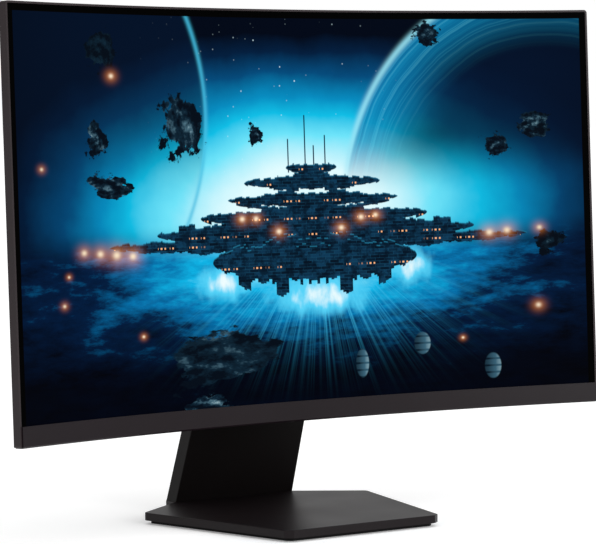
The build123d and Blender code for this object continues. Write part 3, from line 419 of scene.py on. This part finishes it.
def dark_planet():
    """A large unlit disc at the upper left, with a thin bright edge."""
    layer = Layer("dark_planet")
    inward = 1.0 - ellipse(layer, (-0.99, 0.27), 0.69, 0.69)
    disc = layer.step(inward, 0.0, 0.012) * layer.step(layer.up, 0.0, 0.3)
    picture = layer.mix(disc * 0.6, layer.picture, shade(3, 22, 48))
    edge = bell(inward * 90.0)
    return layer.close(layer.mix(edge * 0.7, picture, shade(70, 190, 225)), edge)


def bright_planet():
    """A large banded disc at the upper right, lit along its left edge."""
    layer = Layer("bright_planet")
    depth = ellipse(layer, (0.89, -0.04), 0.71, 0.71)
    drift = layer.noise(4.0, detail=3.0)
    streaks = layer.noise_along(depth * 46.0 + drift * 1.6, detail=5.0, rough=0.7)
    bands = layer.ramp(
        streaks,
        (0.32, shade(6, 118, 172)),
        (0.55, shade(16, 142, 192)),
        (0.78, shade(84, 192, 224)),
    )
    disc = layer.step(depth, 1.0, 0.985) * layer.step(layer.up, 0.02, 0.22)
    picture = layer.mix(disc * layer.step(depth, 1.1, 0.6) * 0.85, layer.picture, shade(1, 20, 48))
    lit = layer.step(depth, 0.7, 1.0) * disc
    picture = layer.mix(lit * 0.8, picture, bands)
    limb = bell((depth - 1.0) * 70.0) * layer.step(layer.up, -0.05, 0.25)
    return layer.close(layer.mix(limb * 0.8, picture, shade(150, 226, 244)), limb)


def stars():
    """Fine white specks, thickest above the middle."""
    layer = Layer("stars")
    specks = layer.step(layer.cells(STAR_CELLS), 0.14, 0.03)
    chosen = layer.step(layer.cells(STAR_CELLS, output="Color"), 0.55, 0.7)
    shown = specks * chosen * glow(layer, (-0.02, 0.35), 0.24, 0.3)
    return layer.close(layer.mix(shown, layer.picture, shade(214, 244, 255)), shown)


def cloud_sea():
    """The lower third: dark wisps running out of the light."""
    layer = Layer("cloud_sea")
    place = layer.stretched(1.0, 3.2, 1.0, (0.0, 0.0, 4.0))
    wisps = layer.noise(5.0, detail=6.0, rough=0.65, place=place)
    surface = layer.ramp(
        wisps * 0.62 + glow(layer, (0.03, -0.19), 0.62, 0.17) * 0.5,
        (0.22, shade(0, 3, 14)),
        (0.4, shade(1, 30, 66)),
        (0.54, shade(3, 112, 170)),
        (0.7, shade(12, 182, 232)),
        (0.92, shade(130, 228, 250)),
    )
    depth = layer.step(layer.up, -0.3, -0.52)
    surface = layer.mix(depth * 0.92, surface, shade(0, 1, 8))
    shown = layer.step(layer.up, -0.04, -0.16)
    return layer.close(layer.mix(shown, layer.picture, surface), shown)


def rays():
    """Rays fanning down from under the platform."""
    layer = Layer("rays")
    turn = (layer.across - 0.09).math("ARCTAN2", layer.up + 0.05)
    beams = layer.step(layer.noise_along(turn * 26.0, detail=3.0, rough=0.7), 0.4, 0.75)
    fan = glow(layer, (0.09, -0.24), 0.34, 0.14) * layer.step(layer.up, -0.12, -0.24) * beams
    return layer.close(layer.mix(fan * 0.9, layer.picture, shade(60, 190, 235)), fan)


def flare():
    """A ragged patch of white light with a blue edge."""
    layer = Layer("flare", "Middle Across", "Middle Up", "Width", "Height")
    middle_across, middle_up, width, height = layer.knobs
    ragged = layer.noise(24.0, detail=4.0, place=layer.stretched(1.0, 0.5, 1.0))
    bright = glow(layer, (middle_across, middle_up), width, height) + (ragged - 0.5) * 0.8
    edge = layer.step(bright, 0.3, 0.9)
    picture = layer.mix(edge, layer.picture, shade(90, 214, 250))
    return layer.close(layer.mix(layer.step(bright, 0.75, 1.1), picture, shade(240, 254, 255)), edge)


def deck():
    """One floor of a floating platform: a flat lens with a stepped outline, plates and lit windows."""
    layer = Layer("deck", "Level", "Half Width", "Half Thickness", "Pattern")
    level, half_width, half_thick, pattern = layer.knobs
    from_middle = abs(layer.across - PLATFORM_MIDDLE)
    reach = from_middle / half_width
    swell = (1.0 - reach * reach).math("MAXIMUM", 0.0).math("SQRT")

    def blocks(width, shift):
        return layer.chance((from_middle * (1 / width)).math("FLOOR") + pattern + shift)

    rise = blocks(0.06, 0.3) * 0.45 + blocks(0.013, 0.7) * 0.3 + 0.35
    fall = blocks(0.045, 0.9) * 0.5 + blocks(0.01, 0.1) * 0.2 + 0.5
    below_top = level + swell * half_thick * rise - layer.up
    above_foot = layer.up - level + swell * half_thick * fall
    body = layer.step(below_top, 0.0, 0.003) * layer.step(above_foot, 0.0, 0.003)
    body = body * layer.step(swell, 0.0, 0.1)
    plates = layer.node("TexBrick")
    put(plates.inputs["Vector"], layer.place)
    put(plates.inputs["Color1"], shade(3, 18, 34))
    put(plates.inputs["Color2"], shade(14, 58, 88))
    put(plates.inputs["Mortar"], shade(20, 72, 100))
    put(plates.inputs["Scale"], 60.0)
    put(plates.inputs["Mortar Size"], 0.035)
    put(plates.inputs["Brick Width"], 1.9)
    put(plates.inputs["Row Height"], 0.55)
    wear = layer.noise(30.0, detail=4.0, rough=0.7)
    surface = layer.mix(layer.step(wear, 0.42, 0.62) * 0.8, plates.outputs["Color"], shade(2, 16, 32))
    rim = layer.step(below_top, 0.007, 0.001) * 0.7
    surface = layer.mix(rim, surface, shade(40, 140, 178))
    row = layer.step(abs(layer.up - level + half_thick * 0.2), 0.0034, 0.0018)
    window = layer.step((layer.across * WINDOWS).math("FRACT"), 0.5, 0.56)
    lit = row * window * layer.step(blocks(1 / WINDOWS, 0.5), 0.84, 0.88)
    surface = layer.mix(lit, surface, shade(255, 186, 132))
    return layer.close(layer.mix(body, layer.picture, surface), lit + body)


def mast():
    """A thin plain mast."""
    layer = Layer("mast", "Middle Across", "Foot", "Top")
    middle, foot, top = layer.knobs
    side = layer.step(abs(layer.across - middle), 0.0026, 0.0016)
    shown = side * layer.step(layer.up - top, 0.0, -0.004) * layer.step(layer.up - foot, -0.004, 0.0)
    return layer.close(layer.mix(shown, layer.picture, shade(4, 40, 66)), shown)


def rock():
    """A broken rock, lit on its upper side towards the light in the middle of the picture."""
    layer = Layer("rock", "Middle Across", "Middle Up", "Size", "Flatness", "Pattern", "Brightness")
    middle_across, middle_up, size, flatness, pattern, brightness = layer.knobs
    sideways = (layer.across - middle_across) / size
    upward = (layer.up - middle_up) / (size * flatness)

    def lumps(aside, above):
        place = layer.vector(sideways + aside, upward + above, pattern)
        return layer.noise(1.5, detail=5.0, rough=0.62, place=place)

    lump = lumps(0.0, 0.0)
    spread = (sideways * sideways + upward * upward).math("SQRT")
    body = layer.step(spread + (lump - 0.5) * 2.2, 0.72, 0.64)
    light_side = middle_across.math("SIGN") * -0.12
    relief = (lump - lumps(light_side, 0.16)) * 3.2 + 0.34 + upward * 0.16
    surface = layer.ramp(
        relief * brightness,
        (0.1, shade(3, 12, 24)),
        (0.42, shade(14, 38, 54)),
        (0.7, shade(70, 104, 120)),
        (1.0, shade(164, 194, 202)),
    )
    return layer.close(layer.mix(body, layer.picture, surface), body)


def pod():
    """A plain pale capsule with rings round it."""
    layer = Layer("pod", "Middle Across", "Middle Up", "Half Width", "Half Length")
    middle_across, middle_up, half_width, half_length = layer.knobs
    outline = ellipse(layer, (middle_across, middle_up), half_width, half_length)
    rings = layer.step(abs(((layer.up - middle_up) * 150.0).math("SINE")), 0.2, 0.6)
    lit = layer.step((layer.across - middle_across) / half_width, -1.0, 1.0)
    surface = layer.ramp(
        rings * 0.2 + lit * 0.55,
        (0.1, shade(6, 24, 38)),
        (0.6, shade(58, 98, 118)),
        (1.0, shade(170, 206, 216)),
    )
    shown = layer.step(outline, 1.0, 0.85)
    return layer.close(layer.mix(shown, layer.picture, surface), shown)


def lamp():
    """A small warm light with a halo."""
    layer = Layer("lamp", "Middle Across", "Middle Up", "Size")
    middle_across, middle_up, size = layer.knobs
    spread = ellipse(layer, (middle_across, middle_up), size, size * 0.8)
    picture = layer.mix(bell(spread) * 0.8, layer.picture, shade(190, 108, 40), way="ADD")
    core = bell(spread * 2.6)
    return layer.close(layer.mix(core, picture, shade(255, 232, 200)), core)


# middle across and up, half width, half height
FLARES = ((0.09, -0.27, 0.2, 0.07), (-0.25, -0.22, 0.12, 0.06), (0.4, -0.19, 0.09, 0.07))
# level, half width, half thickness, pattern: the widest first
DECKS = (
    (-0.105, 0.74, 0.036, 3.0),
    (-0.075, 0.56, 0.056, 11.0),
    (-0.16, 0.36, 0.1, 19.0),
    (-0.03, 0.4, 0.044, 27.0),
    (0.02, 0.3, 0.034, 35.0),
    (0.07, 0.24, 0.032, 43.0),
    (0.112, 0.09, 0.024, 51.0),
)
# place across, foot, top
MASTS = ((-0.01, 0.1, 0.2), (0.05, 0.1, 0.27), (0.08, 0.1, 0.18), (0.12, 0.1, 0.21))
# middle across and up, half width, height over width, pattern, brightness
ROCKS = (
    (-0.39, 0.24, 0.1, 1.3, 3.1, 0.85),
    (-0.12, 0.21, 0.038, 1.0, 8.4, 0.7),
    (-0.66, 0.07, 0.11, 0.5, 5.2, 0.9),
    (-0.7, 0.2, 0.055, 1.1, 9.7, 0.8),
    (0.48, 0.51, 0.06, 0.9, 1.3, 0.8),
    (0.84, 0.23, 0.07, 0.8, 6.6, 0.95),
    (0.71, 0.17, 0.055, 0.9, 2.8, 0.75),
    (0.88, -0.13, 0.07, 0.7, 7.9, 0.5),
    (-0.68, 0.45, 0.075, 1.0, 4.4, 0.5),
    (-0.27, -0.43, 0.3, 0.42, 2.2, 0.85),
    (-0.3, -0.59, 0.12, 0.5, 5.9, 0.95),
)
# middle across and up, half width, half length
PODS = ((0.23, -0.48, 0.024, 0.046), (0.44, -0.43, 0.03, 0.036), (0.68, -0.51, 0.03, 0.042))
# middle across and up, size
LAMPS = (
    (-0.64, 0.38, 0.02),
    (-0.91, 0.12, 0.014),
    (-0.82, -0.18, 0.011),
    (-0.84, -0.26, 0.014),
    (-0.55, -0.36, 0.012),
    (0.85, -0.09, 0.02),
    (0.84, -0.33, 0.022),
    (0.58, -0.42, 0.011),
    (-0.76, -0.115, 0.024),
    (-0.7, -0.12, 0.028),
    (-0.64, -0.125, 0.034),
    (-0.58, -0.13, 0.03),
    (0.68, -0.1, 0.028),
    (0.74, -0.095, 0.028),
    (-0.18, -0.035, 0.022),
    (-0.13, -0.035, 0.02),
    (-0.05, -0.075, 0.022),
    (0.17, -0.07, 0.022),
    (0.24, -0.04, 0.022),
    (0.29, -0.035, 0.02),
)


def screen_finish():
    """The lit screen: the picture inside a black border, under a dark anti-glare skin."""
    skin = Material("screen")
    split = skin.node("SeparateXYZ")
    put(split.inputs[0], skin.place)
    height = skin.node("VectorMath", operation="DOT_PRODUCT")
    put(height.inputs[0], skin.place)
    height.inputs[1].default_value = UP_THE_SCREEN
    across = Wire(split.outputs[0]).math("ARCSINE") * (BEND_RADIUS / UNIT)
    up = (Wire(height.outputs["Value"]) - HEAD_FOOT.dot(UP_THE_SCREEN) - PICTURE_MID) * (1 / UNIT)
    black = (0.0, 0.0, 0.0, 1.0)
    state = (black, across, up)
    for layer in (sky(), dark_planet(), bright_planet(), stars(), cloud_sea(), rays()):
        state = layer.over(skin, state)
    for layer, uses in (
        (flare(), FLARES),
        (mast(), MASTS),
        (deck(), DECKS),
        (rock(), ROCKS),
        (pod(), PODS),
        (lamp(), LAMPS),
    ):
        for one in uses:
            state = layer.over(skin, state, *one)
    side_edge = (SCREEN_HALF_ARC - BORDER) / UNIT
    top_edge = (SCREEN_TOP - BORDER - PICTURE_MID) / UNIT
    inside = skin.step(abs(across), side_edge + EDGE_SOFTNESS, side_edge)
    inside = inside * skin.step(up, top_edge + EDGE_SOFTNESS, top_edge)
    fade = bell(abs(across) * abs(across) * SIDE_DIMMING)
    grain = skin.noise(4000.0, detail=2.0)
    skin.set(
        Base_Color=shade(2, 2, 2),
        Roughness=0.42 + (grain - 0.5) * 0.1,
        Specular_IOR_Level=0.004,
        Emission_Color=skin.mix(inside * fade, black, state[0]),
        Emission_Strength=1.0,
    )
    skin.bump(grain, 0.004 * MM)
    return skin.material


FINISHES["screen"] = screen_finish()

for part in frame["record"]["subparts"]:
    mesh = nodes[part["node"]].data
    mesh.materials.clear()
    mesh.materials.append(FINISHES[part["material_slot"]])


# ---------------------------------------------------------------- studio and camera

FLOOR_SIZE = 400.0
FLOOR_GLOW = 0.2  # keeps the paper white round the object's foot
ROOM_LIGHT = 0.66  # how bright the white room is to the object; the camera sees it at 1
SKY_LIGHT = 1.3
SKY_SPREAD = math.radians(100.0)
SKY_DIRECTION = Vector((-0.35, 0.45, -1.0))
LAMP_AIM = Vector((0.0, 0.0, 0.2))
# name, place, width, height, power
LAMPS_IN_ROOM = (
    ("front_light", (0.35, -3.2, 0.75), 1.3, 1.0, 34.0),
    ("left_light", (-3.0, -0.6, 0.6), 0.5, 0.8, 1.2),
)


def studio():
    """A pale floor under a plain white room, lit by wide soft lamps."""
    bpy.ops.mesh.primitive_plane_add(size=FLOOR_SIZE, location=(0.0, 0.0, 0.0))
    floor = bpy.context.object
    floor.name = "floor"
    paper = Material("studio_paper")
    fibre = paper.noise(900.0, detail=3.0)
    paper.set(Base_Color=paper.ramp(fibre, (0.3, (0.96, 0.96, 0.96, 1)), (0.7, (0.99, 0.99, 0.99, 1))))
    paper.set(Roughness=0.9 + (fibre - 0.5) * 0.1, Specular_IOR_Level=0.1)
    paper.set(Emission_Color=(1.0, 1.0, 1.0, 1.0), Emission_Strength=FLOOR_GLOW)
    paper.bump(fibre, 0.03 * MM)
    floor.data.materials.append(paper.material)
    room = bpy.data.worlds.new("room")
    room.use_nodes = True
    scene.world = room
    background = room.node_tree.nodes["Background"]
    seen = room.node_tree.nodes.new("ShaderNodeLightPath").outputs["Is Camera Ray"]
    level = Wire(seen) * (1.0 - ROOM_LIGHT) + ROOM_LIGHT
    background.inputs["Color"].default_value = (1.0, 1.0, 1.0, 1.0)
    put(background.inputs["Strength"], level)
    sky_light = bpy.data.lights.new("sky_light", "SUN")
    sky_light.energy = SKY_LIGHT
    sky_light.angle = SKY_SPREAD
    sky_lamp = bpy.data.objects.new("sky_light", sky_light)
    sky_lamp.rotation_euler = SKY_DIRECTION.to_track_quat("-Z", "Y").to_euler()
    scene.collection.objects.link(sky_lamp)
    for name, place, width, height, power in LAMPS_IN_ROOM:
        light = bpy.data.lights.new(name, "AREA")
        light.shape = "RECTANGLE"
        light.size = width
        light.size_y = height
        light.energy = power
        lamp = bpy.data.objects.new(name, light)
        lamp.location = place
        towards = LAMP_AIM - Vector(place)
        lamp.rotation_euler = towards.to_track_quat("-Z", "Y").to_euler()
        scene.collection.objects.link(lamp)


CAMERA_AZIMUTH = math.radians(33.03)
CAMERA_ELEVATION = math.radians(3.47)
CAMERA_ROLL = math.radians(-0.7)
CAMERA_DISTANCE = 2446.5 * MM
CAMERA_TARGET = Vector((0.0, -0.8 * MM, 202.7 * MM))
LENS = 165.45
SENSOR = 36.0
SHIFT_ACROSS = 0.0149
SHIFT_UP = 0.0370


def camera():
    """The viewpoint: to the left of the screen, a little above its middle, with a long lens."""
    forward = Vector(
        (
            math.sin(CAMERA_AZIMUTH) * math.cos(CAMERA_ELEVATION),
            math.cos(CAMERA_AZIMUTH) * math.cos(CAMERA_ELEVATION),
            -math.sin(CAMERA_ELEVATION),
        )
    )
    level_right = Vector((math.cos(CAMERA_AZIMUTH), -math.sin(CAMERA_AZIMUTH), 0.0))
    level_up = level_right.cross(forward)
    right = level_right * math.cos(CAMERA_ROLL) + level_up * math.sin(CAMERA_ROLL)
    up = level_up * math.cos(CAMERA_ROLL) - level_right * math.sin(CAMERA_ROLL)
    data = bpy.data.cameras.new("camera")
    data.sensor_width = SENSOR
    data.lens = LENS
    data.shift_x = SHIFT_ACROSS
    data.shift_y = SHIFT_UP
    data.clip_end = 2.5 * FLOOR_SIZE
    eye = bpy.data.objects.new("camera", data)
    turn = Matrix((right, up, -forward)).transposed()
    eye.matrix_world = Matrix.Translation(CAMERA_TARGET - forward * CAMERA_DISTANCE) @ turn.to_4x4()
    scene.collection.objects.link(eye)
    scene.camera = eye


studio()
camera()
scene.view_settings.view_transform = "Standard"
